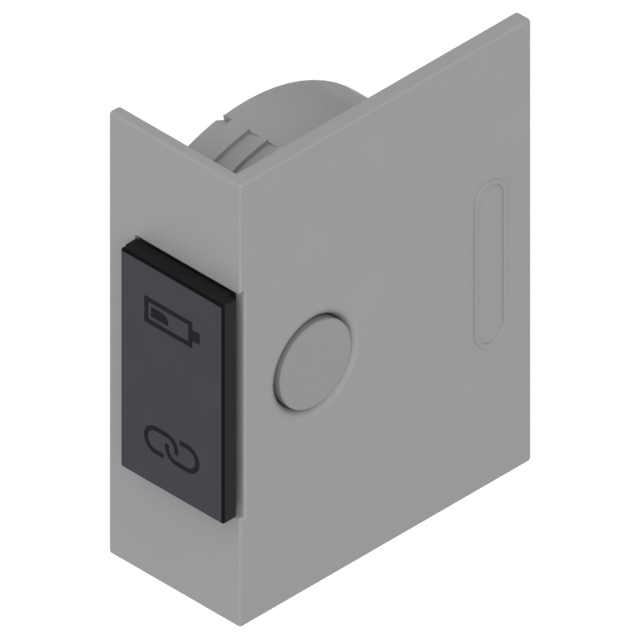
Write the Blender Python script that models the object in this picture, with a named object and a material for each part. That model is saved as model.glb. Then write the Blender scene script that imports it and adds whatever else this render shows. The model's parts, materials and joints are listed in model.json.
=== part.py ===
"""Battery-powered radio push switch that plugs into a 35 mm hole in a cabinet side panel.

Frame: the origin is the centre of the plug's round end face. +X points out of the
plug towards the side panel's outer face, -Y is the front with the push cap, +Z is up.
"""
import math

import bmesh
import bpy
from mathutils import Matrix, Vector

MM = 0.001

# Housing: an L of side panel and front flange, with a round plug on the panel's inner face
PLUG_DIAMETER = 34.8 * MM
PLUG_DEPTH = 11.0 * MM
PANEL_THICKNESS = 1.5 * MM
PANEL_LENGTH = 33.1 * MM
FLANGE_WIDTH = 14.95 * MM
FLANGE_THICKNESS = 1.05 * MM
HOUSING_HEIGHT = 43.45 * MM
FRONT_TO_PLUG_AXIS = 13.15 * MM
EDGE_ROUND = 0.25 * MM
PLUG_WALL = 1.4 * MM

# Barbs on the plug's front quarters: sloping up towards the panel, with a step facing it
BARB_FOOT_RADIUS = 17.1 * MM
BARB_CREST_RADIUS = 17.6 * MM
BARB_LEAD_RADIUS = 17.5 * MM
BARB_LEAD_LENGTH = 2.97 * MM
BARB_PITCH = 2.1 * MM
BARB_START_DEG = 98.5
BARB_END_DEG = 140.0
BARB_NOTCH_LENGTH = 1.0 * MM
BARB_NOTCH_DEG = 2.8
BARB_NOTCH_FLOOR = 16.95 * MM

# Mouth in the flange and the cap that stands in it
MOUTH_LEFT = 0.55 * MM
MOUTH_RIGHT = 11.5 * MM
MOUTH_HALF_HEIGHT = 11.07 * MM
RECESS_DEPTH = 0.54 * MM
RECESS_ROUND = 0.3 * MM
CAP_LEFT = 0.67 * MM
CAP_RIGHT = 12.36 * MM
CAP_HALF_HEIGHT = 10.75 * MM
CAP_PROUD = 1.79 * MM
CAP_BACK_PROUD = 0.19 * MM
CAP_WALL = 0.8 * MM
CAP_TRAVEL = 0.4 * MM
CAP_ROUND = 0.21 * MM
SKIRT_RIGHT = 11.36 * MM
SKIRT_WALL = 0.5 * MM

# Release button in the side panel
RELEASE_Y = -4.6 * MM
RELEASE_RADIUS = 4.07 * MM
RELEASE_HOLE_RADIUS = 4.14 * MM
RELEASE_HOLE_ROUND = 1.1 * MM
RELEASE_PROUD = 0.04 * MM
RELEASE_ROUND = 0.1 * MM
RELEASE_FLANGE_RADIUS = 4.9 * MM
COLLAR_INNER_RADIUS = 5.1 * MM
COLLAR_OUTER_RADIUS = 5.8 * MM

# Battery tray, which pulls out through the mouth
TRAY_HALF_HEIGHT = 10.2 * MM
TRAY_LOW = 1.3 * MM
TRAY_HIGH = 8.9 * MM
TRAY_FRONT = -12.0 * MM
TRAY_REAR = 11.8 * MM
PLATE_LEFT = 0.7 * MM
PLATE_RIGHT = 11.4 * MM
PLATE_FRONT = -12.72 * MM
PLATE_HALF_HEIGHT = 10.9 * MM
CELL_DIAMETER = 20.0 * MM
CELL_THICKNESS = 3.2 * MM
CELL_Y = -1.3 * MM
CELL_LOW = 1.75 * MM
BOARD_THICKNESS = 0.8 * MM
BOARD_LOW = 6.05 * MM
SYMBOL_Z = 6.33 * MM

# Clearances
SLIP = 0.1 * MM
TOUCH = 0.05 * MM

# Places worked out from the sizes above
PLUG_RADIUS = PLUG_DIAMETER / 2
CAVITY_RADIUS = PLUG_RADIUS - PLUG_WALL
PANEL_INNER = PLUG_DEPTH
PANEL_OUTER = PLUG_DEPTH + PANEL_THICKNESS
FLANGE_LEFT = PANEL_OUTER - FLANGE_WIDTH
FRONT_FACE = -FRONT_TO_PLUG_AXIS
FLANGE_INNER = FRONT_FACE + FLANGE_THICKNESS
PANEL_REAR = FRONT_FACE + PANEL_LENGTH
HALF_HEIGHT = HOUSING_HEIGHT / 2
RECESS_FLOOR = FRONT_FACE + RECESS_DEPTH
COVER_RADIUS = 16.5 * MM
COVER_THICKNESS = 1.0 * MM
COVER_FRONT = -12.15 * MM
BOARD_TOP = BOARD_LOW + BOARD_THICKNESS
WEB_LOW = 5.25 * MM
WEB_HIGH = 5.85 * MM
CAP_FRONT = FRONT_FACE - CAP_PROUD
CAP_BACK = FRONT_FACE - CAP_BACK_PROUD
SWITCH_X = 7.57 * MM
LED_X = 7.3 * MM

# Boss positions (y, z) for the three cover screws
BOSS_PLACES = [(3.0 * MM, 13.4 * MM), (3.0 * MM, -13.4 * MM), (14.0 * MM, 0.0)]
BOSS_RADIUS = 1.65 * MM
PILOT_RADIUS = 0.65 * MM


# ---------------------------------------------------------------- tools

def clear_scene():
    """Remove whatever objects the file starts with."""
    for obj in list(bpy.data.objects):
        bpy.data.objects.remove(obj, do_unlink=True)


def make_material(name, colour, roughness, metallic=0.0):
    """A Principled material."""
    material = bpy.data.materials.new(name)
    material.use_nodes = True
    shader = material.node_tree.nodes["Principled BSDF"]
    shader.inputs["Base Color"].default_value = (*colour, 1.0)
    shader.inputs["Roughness"].default_value = roughness
    shader.inputs["Metallic"].default_value = metallic
    return material


def finish_mesh(name, bm, material, smooth=False):
    """Turn a bmesh into an object of the scene."""
    bmesh.ops.recalc_face_normals(bm, faces=bm.faces)
    mesh = bpy.data.meshes.new(name)
    bm.to_mesh(mesh)
    bm.free()
    mesh.materials.append(material)
    if smooth:
        mesh.shade_smooth()
        mesh.set_sharp_from_angle(angle=math.radians(30))
    obj = bpy.data.objects.new(name, mesh)
    bpy.context.scene.collection.objects.link(obj)
    return obj


def box(name, low, high, material, bevel=0.0, segments=1):
    """An axis-aligned block between two corners, with optional rounded edges."""
    bm = bmesh.new()
    bmesh.ops.create_cube(bm, size=1.0)
    size = Vector(high) - Vector(low)
    centre = (Vector(high) + Vector(low)) / 2
    bmesh.ops.scale(bm, vec=size, verts=bm.verts)
    bmesh.ops.translate(bm, vec=centre, verts=bm.verts)
    if bevel:
        bmesh.ops.bevel(bm, geom=list(bm.edges), offset=bevel, segments=segments,
                        profile=0.5, affect="EDGES", clamp_overlap=True)
    return finish_mesh(name, bm, material)


def to_space(axis, along, first, second):
    """A point from its place along an axis and its two coordinates across it."""
    if axis == "X":
        return Vector((along, first, second))
    if axis == "Y":
        return Vector((first, along, second))
    return Vector((first, second, along))


def prism(name, outline, axis, low, high, material, smooth=False):
    """An outline in the plane across an axis, extruded along it."""
    bm = bmesh.new()
    rings = []
    for along in (low, high):
        rings.append([bm.verts.new(to_space(axis, along, a, b)) for a, b in outline])
    count = len(outline)
    for i in range(count):
        j = (i + 1) % count
        bm.faces.new((rings[0][i], rings[0][j], rings[1][j], rings[1][i]))
    bm.faces.new(rings[0])
    bm.faces.new(rings[1])
    return finish_mesh(name, bm, material, smooth)


def arc(centre, radius, start_deg, end_deg, steps):
    """Points on an arc, both ends included."""
    points = []
    for i in range(steps + 1):
        angle = math.radians(start_deg + (end_deg - start_deg) * i / steps)
        points.append((centre[0] + radius * math.cos(angle), centre[1] + radius * math.sin(angle)))
    return points


def circle(centre, radius, steps):
    """A closed circle's points."""
    return arc(centre, radius, 0, 360, steps)[:-1]


def rod(name, axis, centre, radius, low, high, steps, material):
    """A round bar along an axis."""
    return prism(name, circle(centre, radius, steps), axis, low, high, material, smooth=True)


def turned(name, profile, centre, axis, steps, material):
    """A profile of (radius, along) points, starting and ending on the axis, turned once round."""
    bm = bmesh.new()
    rings = []
    for radius, along in profile:
        if radius == 0:
            rings.append([bm.verts.new(to_space(axis, along, *centre))])
            continue
        ring = [bm.verts.new(to_space(axis, along, *point)) for point in circle(centre, radius, steps)]
        rings.append(ring)
    for lower, upper in zip(rings, rings[1:]):
        for i in range(steps):
            j = (i + 1) % steps
            if len(lower) == 1:
                bm.faces.new((lower[0], upper[i], upper[j]))
            elif len(upper) == 1:
                bm.faces.new((lower[i], upper[0], lower[j]))
            else:
                bm.faces.new((lower[i], lower[j], upper[j], upper[i]))
    return finish_mesh(name, bm, material, smooth=True)


def swept_ring(name, profile, start_deg, end_deg, steps, material):
    """A closed profile of (radius, x) points swept about the plug's axis.

    Angles run from +Y towards +Z. A full turn closes on itself.
    """
    bm = bmesh.new()
    full = abs(end_deg - start_deg) >= 360
    stations = steps if full else steps + 1
    rings = []
    for i in range(stations):
        angle = math.radians(start_deg + (end_deg - start_deg) * i / steps)
        direction = Vector((0, math.cos(angle), math.sin(angle)))
        rings.append([bm.verts.new(direction * radius + Vector((x, 0, 0))) for radius, x in profile])
    spans = stations if full else stations - 1
    count = len(profile)
    for i in range(spans):
        here = rings[i]
        there = rings[(i + 1) % stations]
        for k in range(count):
            m = (k + 1) % count
            bm.faces.new((here[k], here[m], there[m], there[k]))
    if not full:
        bm.faces.new(rings[0])
        bm.faces.new(rings[-1])
    return finish_mesh(name, bm, material, smooth=True)


def strip(name, path, thickness, low_z, high_z, material):
    """A bent metal strip: a centre line of (y, x) points, thickened and given a width along Z."""
    left = []
    right = []
    for i, point in enumerate(path):
        before = Vector(path[max(i - 1, 0)])
        after = Vector(path[min(i + 1, len(path) - 1)])
        here = Vector(point)
        into = (here - before).normalized() if i else (after - here).normalized()
        out = (after - here).normalized() if i < len(path) - 1 else into
        tangent = (into + out).normalized()
        normal = Vector((-tangent.y, tangent.x))
        reach = thickness / 2 / max(normal.dot(Vector((-into.y, into.x))), 0.3)
        left.append(here + normal * reach)
        right.append(here - normal * reach)
    outline = [(point.y, point.x) for point in left + right[::-1]]
    return prism(name, outline, "Z", low_z, high_z, material)


def combine(target, tool, operation):
    """Join a tool to a target, or cut it away, with an exact Boolean."""
    modifier = target.modifiers.new(f"{operation.lower()} {tool.name}", "BOOLEAN")
    modifier.operation = operation
    modifier.solver = "EXACT"
    modifier.object = tool
    tool.hide_render = True
    tool.display_type = "WIRE"
    tool.parent = target


def add(target, *tools):
    """Weld tools to a target."""
    for tool in tools:
        combine(target, tool, "UNION")


def cut(target, *tools):
    """Cut tools out of a target."""
    for tool in tools:
        combine(target, tool, "DIFFERENCE")


def both_sides(low, high):
    """A block's corners above the middle plane and their mirror below it."""
    mirrored_low = (low[0], low[1], -high[2])
    mirrored_high = (high[0], high[1], -low[2])
    return [("upper", low, high), ("lower", mirrored_low, mirrored_high)]


def joint_empty(name, place, parent=None):
    """An empty on a joint's axis, which the moving pieces hang from."""
    empty = bpy.data.objects.new(name, None)
    empty.empty_display_size = 3 * MM
    bpy.context.scene.collection.objects.link(empty)
    empty.location = place
    if parent:
        empty.parent = parent
        empty.matrix_parent_inverse = Matrix.Translation(-parent.location)
    return empty


def hang(empty, *pieces):
    """Parent pieces to a joint's empty without moving them."""
    for piece in pieces:
        piece.parent = empty
        piece.matrix_parent_inverse = Matrix.Translation(-empty.location)


# ---------------------------------------------------------------- housing

def d_outline(radius, front, steps):
    """A circle about the plug's axis with its front cut off flat."""
    half_angle = math.degrees(math.acos(front / radius))
    return arc((0, 0), radius, -half_angle, half_angle, steps)


def barb_profile():
    """Saw teeth in (radius, x): each rises towards the panel and ends in a step that faces it."""
    inner = PLUG_RADIUS - PLUG_WALL / 2
    points = [(inner, 0.0), (BARB_LEAD_RADIUS, 0.0), (BARB_CREST_RADIUS, BARB_LEAD_LENGTH)]
    x = BARB_LEAD_LENGTH
    while x < PLUG_DEPTH:
        end = min(x + BARB_PITCH, PLUG_DEPTH + 0.2 * MM)
        points.append((BARB_FOOT_RADIUS, x))
        points.append((BARB_CREST_RADIUS, end))
        x += BARB_PITCH
    points.append((inner, PLUG_DEPTH + 0.2 * MM))
    return points


def make_plug(material):
    """The plug's round wall with its smooth skin, barbed front quarters and flat front."""
    top = PLUG_DEPTH + 0.2 * MM
    core = PLUG_RADIUS - 0.4 * MM
    inner = PLUG_RADIUS - PLUG_WALL / 2
    ring_profile = [(CAVITY_RADIUS, 0.0), (core, 0.0), (core, top), (CAVITY_RADIUS, top)]
    plug = swept_ring("plug_wall", ring_profile, 0, 360, 72, material)
    skin_profile = [(inner, 0.0), (PLUG_RADIUS, 0.0), (PLUG_RADIUS, top), (inner, top)]
    add(plug, swept_ring("plug_skin", skin_profile, -BARB_START_DEG, BARB_START_DEG, 40, material))
    overlap = 0.2
    for side, sign in (("upper", 1), ("lower", -1)):
        start = sign * (BARB_START_DEG - overlap)
        end = sign * BARB_END_DEG
        add(plug, swept_ring(f"plug_barbs_{side}", barb_profile(), start, end, 10, material))
        beyond = PLUG_RADIUS + 1 * MM
        ramp_end = BARB_START_DEG + BARB_NOTCH_DEG
        wedge = [(BARB_NOTCH_FLOOR, BARB_START_DEG), (beyond, BARB_START_DEG), (beyond, ramp_end),
                 (BARB_LEAD_RADIUS, ramp_end)]
        outline = [(radius * math.cos(math.radians(angle)), sign * radius * math.sin(math.radians(angle)))
                   for radius, angle in wedge]
        cut(plug, prism(f"cut_barb_notch_{side}", outline, "X", -0.5 * MM, BARB_NOTCH_LENGTH, material))
    in_flange = 0.3 * MM
    cut(plug, box("cut_plug_front", (-1 * MM, -20 * MM, -20 * MM),
                  (20 * MM, FLANGE_INNER - in_flange, 20 * MM), material))
    return plug


def stadium(centre_y, half_width, half_height, steps):
    """An upright oblong with round ends, in (y, z)."""
    straight = half_height - half_width
    upper = arc((centre_y, straight), half_width, 0, 180, steps)
    lower = arc((centre_y, -straight), half_width, 180, 360, steps)
    return upper + lower


def flare(inner, radius, steps):
    """A cutter's widening in (reach, x) that leaves a rounded edge at the panel's outer face."""
    points = []
    for i in range(steps + 1):
        angle = math.radians(90 * i / steps)
        points.append((inner + radius * (1 - math.cos(angle)), PANEL_OUTER - radius * (1 - math.sin(angle))))
    return points


def make_recess_cutter(material):
    """The cut in the side panel's front edge beside the cap, with rounded outer edges."""
    bm = bmesh.new()
    stations = [(0.0, MOUTH_RIGHT - 0.2 * MM)] + flare(0.0, RECESS_ROUND, 3) + [(RECESS_ROUND, 14 * MM)]
    rings = []
    for growth, x in stations:
        half = MOUTH_HALF_HEIGHT + growth
        floor = RECESS_FLOOR + growth
        corners = [(-14 * MM, -half), (floor, -half), (floor, half), (-14 * MM, half)]
        rings.append([bm.verts.new((x, y, z)) for y, z in corners])
    for here, there in zip(rings, rings[1:]):
        for i in range(4):
            j = (i + 1) % 4
            bm.faces.new((here[i], here[j], there[j], there[i]))
    bm.faces.new(rings[0])
    bm.faces.new(rings[-1])
    return finish_mesh("cut_panel_edge", bm, material)


def make_housing(material):
    """Side panel, flange and plug in one moulding, with rails, bosses and the button's collar."""
    bm = bmesh.new()
    outline = [(FLANGE_LEFT, FRONT_FACE), (PANEL_OUTER, FRONT_FACE), (PANEL_OUTER, PANEL_REAR),
               (PANEL_INNER, PANEL_REAR), (PANEL_INNER, FLANGE_INNER), (FLANGE_LEFT, FLANGE_INNER)]
    rings = []
    for z in (-HALF_HEIGHT, HALF_HEIGHT):
        rings.append([bm.verts.new((x, y, z)) for x, y in outline])
    for i in range(6):
        j = (i + 1) % 6
        bm.faces.new((rings[0][i], rings[0][j], rings[1][j], rings[1][i]))
    bm.faces.new(rings[0])
    bm.faces.new(rings[1])
    inner_corner = {rings[0][4], rings[1][4]}
    outer_edges = [edge for edge in bm.edges if not set(edge.verts) & inner_corner]
    bmesh.ops.bevel(bm, geom=outer_edges, offset=EDGE_ROUND, segments=2, profile=0.5,
                    affect="EDGES", clamp_overlap=True)
    housing = finish_mesh("housing", bm, material)

    into_panel = PANEL_INNER + 0.2 * MM
    add(housing, make_plug(material))
    rail_low = (2.0 * MM, FLANGE_INNER - 0.2 * MM, TRAY_HALF_HEIGHT + 2 * SLIP)
    rail_high = (into_panel, 11.7 * MM, 11.3 * MM)
    for side, low, high in both_sides(rail_low, rail_high):
        add(housing, box(f"rail_{side}", low, high, material))
    stop_low = (2.0 * MM, TRAY_REAR + 0.15 * MM, 6.0 * MM)
    stop_high = (into_panel, 12.8 * MM, 9.0 * MM)
    for side, low, high in both_sides(stop_low, stop_high):
        add(housing, box(f"tray_stop_{side}", low, high, material))
    for number, place in enumerate(BOSS_PLACES, 1):
        add(housing, rod(f"boss_{number}", "X", place, BOSS_RADIUS, 1.1 * MM, into_panel, 20, material))
    centre = (RELEASE_Y, 0.0)
    add(housing, rod("collar", "X", centre, COLLAR_OUTER_RADIUS, 9.05 * MM, into_panel, 48, material))

    seat = prism("cut_cover_seat", d_outline(COVER_RADIUS + SLIP, COVER_FRONT - SLIP, 60), "X",
                 -1 * MM, COVER_THICKNESS + SLIP, material)
    cut(housing, seat)
    cut(housing, box("cut_mouth", (MOUTH_LEFT, -14 * MM, -MOUTH_HALF_HEIGHT),
                     (MOUTH_RIGHT, TRAY_FRONT, MOUTH_HALF_HEIGHT), material))
    cut(housing, make_recess_cutter(material))
    cut(housing, rod("cut_collar_bore", "X", centre, COLLAR_INNER_RADIUS, 8 * MM, PANEL_INNER, 48, material))
    bore = [(0, 10 * MM), (RELEASE_HOLE_RADIUS, 10 * MM)]
    bore += flare(RELEASE_HOLE_RADIUS, RELEASE_HOLE_ROUND, 5)
    bore += [(RELEASE_HOLE_RADIUS + RELEASE_HOLE_ROUND, 14 * MM), (0, 14 * MM)]
    cut(housing, turned("cut_release_hole", bore, centre, "X", 64, material))
    for number, place in enumerate(BOSS_PLACES, 1):
        cut(housing, rod(f"cut_pilot_{number}", "X", place, PILOT_RADIUS, 0, 8 * MM, 12, material))

    plaque_y = 15.25 * MM
    ridge = 0.35 * MM
    plaque = prism("plaque_ridge", stadium(plaque_y, 1.8 * MM, 8.1 * MM, 8), "X",
                   PANEL_OUTER - 0.1 * MM, PANEL_OUTER + 0.12 * MM, material)
    cut(plaque, prism("cut_plaque", stadium(plaque_y, 1.8 * MM - ridge, 8.1 * MM - ridge, 8), "X",
                      PANEL_OUTER - 0.5 * MM, PANEL_OUTER + 0.5 * MM, material))
    add(housing, plaque)
    return housing


def make_rear_cover(material):
    """The flat end of the plug, with a countersunk hole over each boss."""
    cover = prism("rear_cover", d_outline(COVER_RADIUS, COVER_FRONT, 60), "X", 0, COVER_THICKNESS,
                  material, smooth=True)
    for number, place in enumerate(BOSS_PLACES, 1):
        sink = [(0, -0.1 * MM), (1.6 * MM, -0.1 * MM), (0.85 * MM, 0.65 * MM), (0.85 * MM, 1.2 * MM),
                (0, 1.2 * MM)]
        cut(cover, turned(f"cut_countersink_{number}", sink, place, "X", 20, material))
    return cover


def make_cover_screw(number, place, material):
    """A countersunk screw with a cross recess, head flush with the cover."""
    profile = [(0, 0.05 * MM), (1.4 * MM, 0.05 * MM), (0.6 * MM, 0.85 * MM), (0.6 * MM, 6.6 * MM),
               (0.15 * MM, 7.4 * MM), (0, 7.4 * MM)]
    screw = turned(f"cover_screw_{number}", profile, place, "X", 20, material)
    y, z = place
    long_half = 0.75 * MM
    slot_half = 0.17 * MM
    cut(screw, box(f"cut_cross_{number}_a", (-0.2 * MM, y - long_half, z - slot_half),
                   (0.45 * MM, y + long_half, z + slot_half), material))
    cut(screw, box(f"cut_cross_{number}_b", (-0.2 * MM, y - slot_half, z - long_half),
                   (0.45 * MM, y + slot_half, z + long_half), material))
    return screw


def make_release_button(material):
    """A round button held behind the panel by its own flange, with a peg that presses the latch."""
    top = PANEL_OUTER + RELEASE_PROUD
    flange_low = 10.2 * MM
    peg_low = 9.45 * MM
    profile = [(0, peg_low), (1.2 * MM, peg_low), (1.2 * MM, flange_low),
               (RELEASE_FLANGE_RADIUS, flange_low), (RELEASE_FLANGE_RADIUS, PANEL_INNER - SLIP),
               (RELEASE_RADIUS, PANEL_INNER - SLIP)]
    profile += arc((RELEASE_RADIUS - RELEASE_ROUND, top - RELEASE_ROUND), RELEASE_ROUND, 0, 90, 3)
    profile.append((0, top))
    return turned("release_button", profile, (RELEASE_Y, 0.0), "X", 64, material)


# ---------------------------------------------------------------- tray

def make_tray(material):
    """The carrier: cell pocket towards the plug's end, board pocket towards the side panel."""
    half = TRAY_HALF_HEIGHT
    plate_back = TRAY_FRONT - TOUCH
    tray = box("battery_tray", (TRAY_LOW, plate_back - TOUCH, -half), (TRAY_HIGH, TRAY_REAR, half), material)
    runner_low = (TRAY_HIGH - 0.2 * MM, TRAY_FRONT + 0.2 * MM, 9.4 * MM)
    runner_high = (10.6 * MM, TRAY_REAR, half)
    for side, low, high in both_sides(runner_low, runner_high):
        add(tray, box(f"runner_{side}", low, high, material))
    add(tray, box("tray_front_plate", (PLATE_LEFT, PLATE_FRONT, -PLATE_HALF_HEIGHT),
                  (PLATE_RIGHT, plate_back, PLATE_HALF_HEIGHT), material))
    lip_back = COVER_FRONT - 0.2 * MM
    cut(tray, box("cut_cover_clearance", (0, lip_back, -12 * MM), (1.15 * MM, -11.5 * MM, 12 * MM), material))

    cell_radius = CELL_DIAMETER / 2
    cell_place = (CELL_Y, 0.0)
    cut(tray, rod("cut_cell_pocket", "X", cell_place, cell_radius + 0.15 * MM, 1.7 * MM, WEB_LOW, 72, material))
    cut(tray, rod("cut_cell_lip", "X", cell_place, cell_radius - 0.2 * MM, 1 * MM, 2 * MM, 72, material))
    gap_half = 4.6 * MM
    finger_low = (1 * MM, CELL_Y - gap_half, 8.5 * MM)
    finger_high = (WEB_LOW, CELL_Y + gap_half, 11 * MM)
    for side, low, high in both_sides(finger_low, finger_high):
        cut(tray, box(f"cut_finger_gap_{side}", low, high, material))
    cut(tray, box("cut_board_pocket", (WEB_HIGH, -9.55 * MM, -9.4 * MM), (11 * MM, 11.15 * MM, 9.4 * MM), material))
    cut(tray, box("cut_negative_window", (5 * MM, -6.5 * MM, -1.7 * MM), (6 * MM, 3.5 * MM, 1.7 * MM), material))
    cut(tray, box("cut_positive_slot", (1.9 * MM, 8.5 * MM, -1.7 * MM), (6 * MM, 10.1 * MM, 1.7 * MM), material))
    cut(tray, rod("cut_pusher_bore", "Y", (SWITCH_X, 0.0), 1.2 * MM, -13 * MM, -9 * MM, 24, material))

    guide_half = 0.7 * MM
    guide_low = (LED_X - guide_half, -13 * MM, SYMBOL_Z - guide_half)
    guide_high = (LED_X + guide_half, -9 * MM, SYMBOL_Z + guide_half)
    for side, low, high in both_sides(guide_low, guide_high):
        cut(tray, box(f"cut_guide_bore_{side}", low, high, material))
    slot_low = (2.8 * MM, -13 * MM, 8.3 * MM)
    slot_high = (7.2 * MM, -11.4 * MM, 9.4 * MM)
    for side, low, high in both_sides(slot_low, slot_high):
        cut(tray, box(f"cut_leg_slot_{side}", low, high, material))
    window_low = (2.8 * MM, -11.5 * MM, 8.3 * MM)
    window_high = (7.2 * MM, -9.9 * MM, 10.5 * MM)
    for side, low, high in both_sides(window_low, window_high):
        cut(tray, box(f"cut_hook_window_{side}", low, high, material))

    for end, low_y, high_y in (("front", -9.7 * MM, -8.5 * MM), ("rear", 10.3 * MM, 11.3 * MM)):
        pad_low = (WEB_HIGH - 0.2 * MM, low_y, 6.0 * MM)
        pad_high = (BOARD_LOW - TOUCH, high_y, 9.5 * MM)
        for side, low, high in both_sides(pad_low, pad_high):
            add(tray, box(f"board_pad_{end}_{side}", low, high, material))
    for side, sign in (("upper", 1), ("lower", -1)):
        peg_place = (-7.4 * MM, sign * 8.4 * MM)
        add(tray, rod(f"board_peg_{side}", "X", peg_place, 0.6 * MM, 5.5 * MM, 7.3 * MM, 16, material))
        hole_place = (9.8 * MM, sign * 8.0 * MM)
        cut(tray, rod(f"cut_board_pilot_{side}", "X", hole_place, 0.55 * MM, 2.3 * MM, 7 * MM, 12, material))
    add(tray, box("latch_shelf", (7.1 * MM, 8.8 * MM, -2.4 * MM), (8.25 * MM, 11.3 * MM, 2.4 * MM), material))
    cut(tray, box("cut_latch_slot", (7 * MM, 9.95 * MM, -1.8 * MM), (8.4 * MM, 10.35 * MM, 1.8 * MM), material))
    return tray


def make_coin_cell(material):
    """A 20 mm lithium coin cell: wide can below, stepped negative cap above."""
    low = CELL_LOW
    high = CELL_LOW + CELL_THICKNESS
    radius = CELL_DIAMETER / 2
    step = 0.2 * MM
    profile = [(0, low), (radius - 0.45 * MM, low), (radius, low + 0.3 * MM), (radius, high - 0.45 * MM),
               (radius - 0.35 * MM, high - step), (8.9 * MM, high - step), (8.75 * MM, high), (0, high)]
    return turned("coin_cell", profile, (CELL_Y, 0.0), "X", 64, material)


def make_contacts(material):
    """Spring contacts from the board's underside to the cell's cap and to its rim."""
    thickness = 0.12 * MM
    foot = BOARD_LOW - TOUCH - thickness / 2
    cell_top = CELL_LOW + CELL_THICKNESS
    touch = cell_top + TOUCH + thickness / 2
    negative_path = [(3.0 * MM, foot), (1.0 * MM, foot), (-3.6 * MM, touch + 0.05 * MM),
                     (-4.3 * MM, touch), (-5.6 * MM, touch + 0.35 * MM)]
    negative = strip("contact_negative", negative_path, thickness, -1.3 * MM, 1.3 * MM, material)
    rim = CELL_Y + CELL_DIAMETER / 2 + TOUCH + thickness / 2
    positive_path = [(9.95 * MM, foot), (9.3 * MM, foot), (9.3 * MM, 4.3 * MM), (rim, 3.4 * MM),
                     (9.15 * MM, 2.4 * MM)]
    positive = strip("contact_positive", positive_path, thickness, -1.3 * MM, 1.3 * MM, material)
    return [negative, positive]


def make_latch_spring(material):
    """A steel leaf over the board: its rear leg is pressed into the shelf, its front end is the hook."""
    path = [(10.15 * MM, 7.2 * MM), (10.15 * MM, 8.45 * MM), (-9.2 * MM, 8.45 * MM), (-9.4 * MM, 8.93 * MM)]
    return strip("latch_spring", path, 0.2 * MM, -1.6 * MM, 1.6 * MM, material)


def make_board(material):
    """The circuit board with holes for its two pegs and two screws."""
    board = box("circuit_board", (BOARD_LOW, -9.4 * MM, -9.3 * MM), (BOARD_TOP, 11.0 * MM, 9.3 * MM), material)
    for side, sign in (("upper", 1), ("lower", -1)):
        cut(board, rod(f"cut_peg_hole_{side}", "X", (-7.4 * MM, sign * 8.4 * MM), 0.7 * MM,
                       5 * MM, 8 * MM, 16, material))
        cut(board, rod(f"cut_screw_hole_{side}", "X", (9.8 * MM, sign * 8.0 * MM), 0.65 * MM,
                       5 * MM, 8 * MM, 16, material))
    return board


def make_board_screw(number, sign, material):
    """A pan-head screw that clamps the board's rear corner."""
    seat = BOARD_TOP + TOUCH
    profile = [(0, 2.6 * MM), (0.5 * MM, 3.1 * MM), (0.5 * MM, seat), (1.1 * MM, seat),
               (1.1 * MM, seat + 0.45 * MM), (0.7 * MM, seat + 0.7 * MM), (0, seat + 0.7 * MM)]
    place = (9.8 * MM, sign * 8.0 * MM)
    screw = turned(f"board_screw_{number}", profile, place, "X", 20, material)
    y, z = place
    cut(screw, box(f"cut_board_slot_{number}", (seat + 0.35 * MM, y - 1.3 * MM, z - 0.14 * MM),
                   (seat + 1 * MM, y + 1.3 * MM, z + 0.14 * MM), material))
    return screw


def chip(name, centre, size, material, bevel=0.0):
    """A board component: a block standing on the board, centred at (y, z), sized (y, z, height)."""
    y, z = centre
    low = (BOARD_TOP + TOUCH, y - size[0] / 2, z - size[1] / 2)
    high = (BOARD_TOP + TOUCH + size[2], y + size[0] / 2, z + size[1] / 2)
    return box(name, low, high, material, bevel)


def make_light_guide(name, sign, material):
    """A square clear rod from the lamp to a wide head behind the cap's symbol."""
    z = sign * SYMBOL_Z
    half = 0.6 * MM
    head_half = 1.15 * MM
    guide = box(name, (LED_X - half, -12.9 * MM, z - half), (LED_X + half, -9.45 * MM, z + half), material)
    add(guide, box(f"{name}_head", (4.3 * MM, -13.6 * MM, z - head_half),
                   (8.8 * MM, PLATE_FRONT - TOUCH, z + head_half), material))
    return guide


def make_switch(body_material, metal, plunger_material):
    """A side-push key switch: open-topped body, sheet cover, snap dome and T-shaped plunger."""
    low = BOARD_TOP + TOUCH
    body = box("switch_body", (low, -9.15 * MM, -2.3 * MM), (8.0 * MM, -5.95 * MM, 2.3 * MM), body_material)
    cut(body, box("cut_switch_cavity", (7.15 * MM, -8.55 * MM, -1.7 * MM), (9 * MM, -6.35 * MM, 1.7 * MM),
                  body_material))
    cut(body, box("cut_switch_gate", (7.15 * MM, -10 * MM, -0.85 * MM), (9 * MM, -8 * MM, 0.85 * MM),
                  body_material))
    cover = box("switch_cover", (8.05 * MM, -9.15 * MM, -2.3 * MM), (8.17 * MM, -5.95 * MM, 2.3 * MM), metal)
    bow_outer = arc((-5.7 * MM, 0.0), 1.7 * MM, 120, 240, 10)
    bow_inner = arc((-5.7 * MM, 0.0), 1.55 * MM, 240, 120, 10)
    dome = prism("switch_dome", bow_outer + bow_inner, "X", 7.22 * MM, 7.9 * MM, metal)
    stem = 0.75 * MM
    flange = 1.4 * MM
    outline = [(-10.05 * MM, -stem), (-8.4 * MM, -stem), (-8.4 * MM, -flange), (-7.9 * MM, -flange),
               (-7.9 * MM, flange), (-8.4 * MM, flange), (-8.4 * MM, stem), (-10.05 * MM, stem)]
    plunger = prism("switch_plunger", outline, "X", 7.22 * MM, 7.92 * MM, plunger_material)
    return body, cover, dome, plunger


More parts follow.
